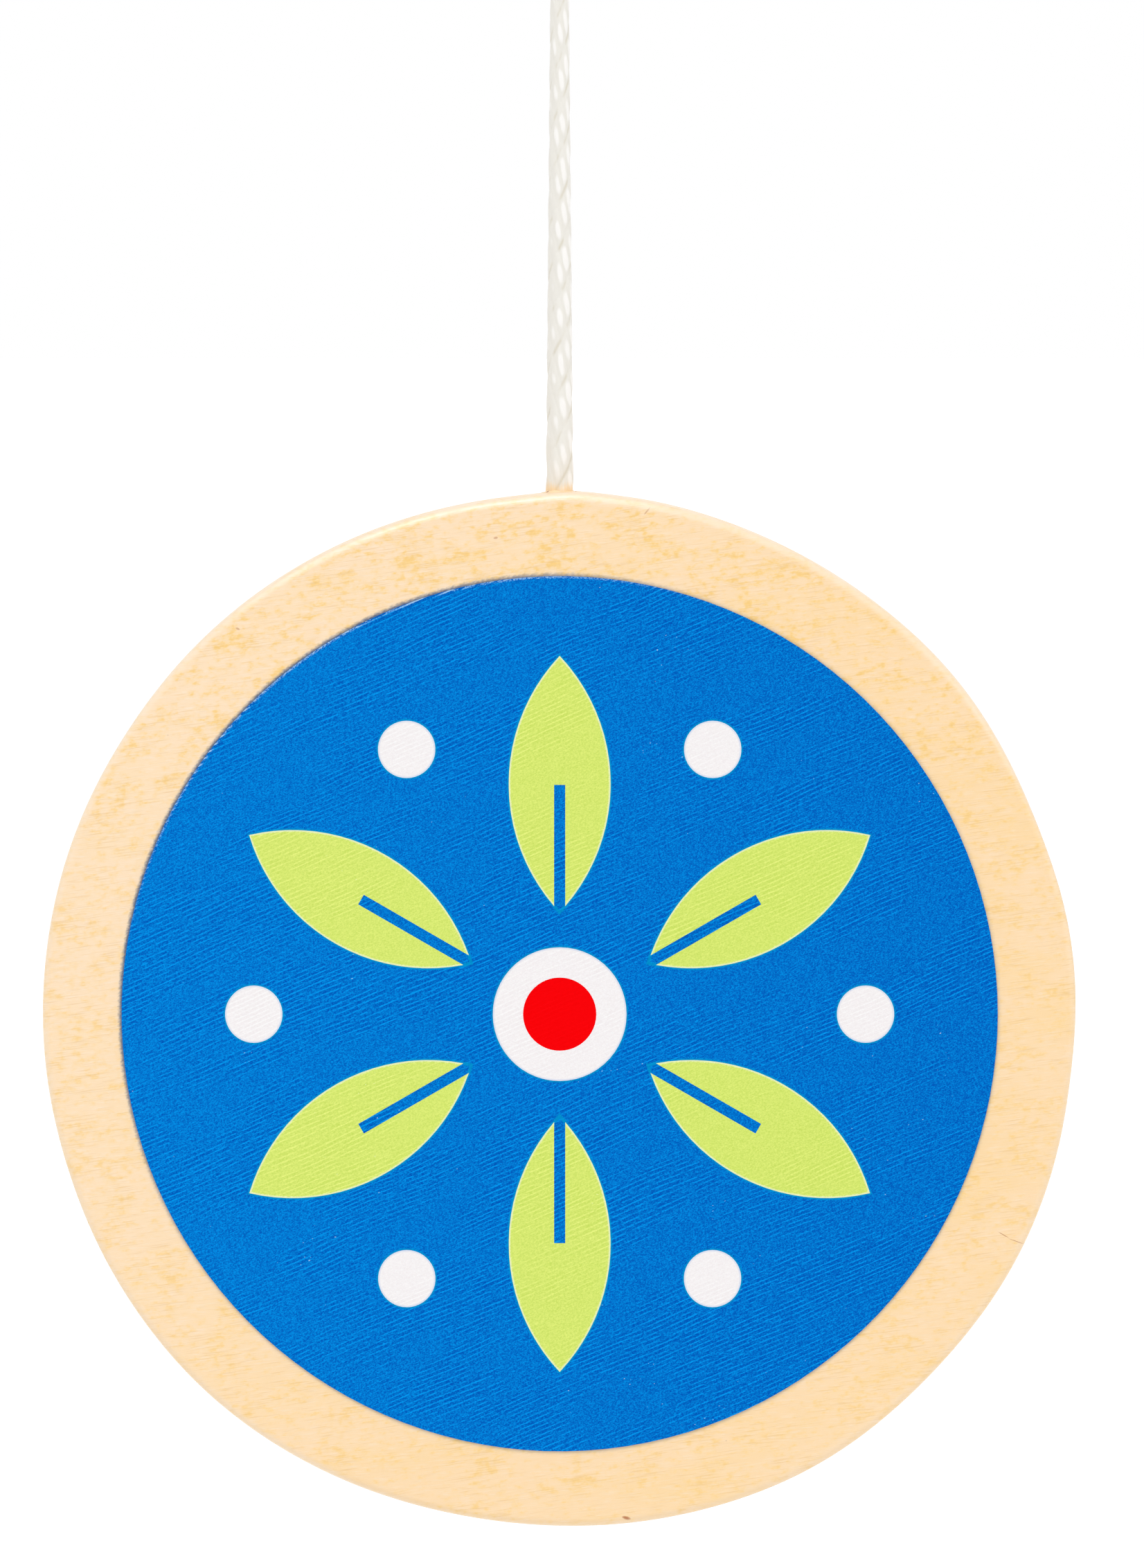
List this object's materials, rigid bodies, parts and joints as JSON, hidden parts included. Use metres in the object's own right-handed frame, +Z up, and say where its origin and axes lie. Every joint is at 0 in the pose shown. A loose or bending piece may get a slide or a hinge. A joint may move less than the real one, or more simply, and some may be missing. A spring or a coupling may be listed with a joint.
{
  "type": "baby mobile pendant",
  "caption": "Round wooden disc with a printed rosette on both faces, glued to a laid cord with a knotted loop, to hang from a baby mobile and swing, turn and tilt.",
  "frame": {"origin": "the hanging loop's seat: the inner side of its crown, where a hook or an arm carries it", "axes": "+Z up along the cord; the disc hangs below with its front facing -Y, and +X is to the right seen from the front"},
  "size_m": [0.065, 0.0074, 0.121],
  "materials": {
    "wood": "satin",
    "blue_ink": "satin",
    "green_ink": "satin",
    "white_ink": "satin",
    "red_ink": "satin",
    "cord": "satin",
    "glue": "gloss"
  },
  "bodies": {
    "loop": {"hanging_loop": "cord"},
    "knot": {"loop_knot": "cord"},
    "cord": {"cord_upper": "cord"},
    "cord_foot": {"cord_lower": "cord"},
    "bend": {"cord_bend": "cord"},
    "disc": {"cord_end": "cord", "glue_plug": "glue", "wood_disc": "wood", "front_blue_ink": "blue_ink", "front_green_ink": "green_ink", "front_white_ink": "white_ink", "front_red_ink": "red_ink", "back_blue_ink": "blue_ink", "back_green_ink": "green_ink", "back_white_ink": "white_ink", "back_red_ink": "red_ink"}
  },
  "joints": [
    {"name": "swing_front_back", "type": "hinge", "parent": "loop", "child": "knot", "pos_m": [0, 0, -0.01285], "axis": [1, 0, 0], "range_deg": [-75, 75]},
    {"name": "swing_sideways", "type": "hinge", "parent": "knot", "child": "cord", "pos_m": [0, 0, -0.01485], "axis": [0, 1, 0], "range_deg": [-75, 75]},
    {"name": "spin", "type": "hinge", "parent": "cord", "child": "cord_foot", "pos_m": [0, 0, -0.04705], "axis": [0, 0, 1], "continuous": true},
    {"name": "rock", "type": "hinge", "parent": "cord_foot", "child": "bend", "pos_m": [0, 0, -0.05025], "axis": [0, 1, 0], "range_deg": [-45, 45]},
    {"name": "nod", "type": "hinge", "parent": "bend", "child": "disc", "pos_m": [0, 0, -0.05345], "axis": [1, 0, 0], "range_deg": [-45, 45]}
  ]
}
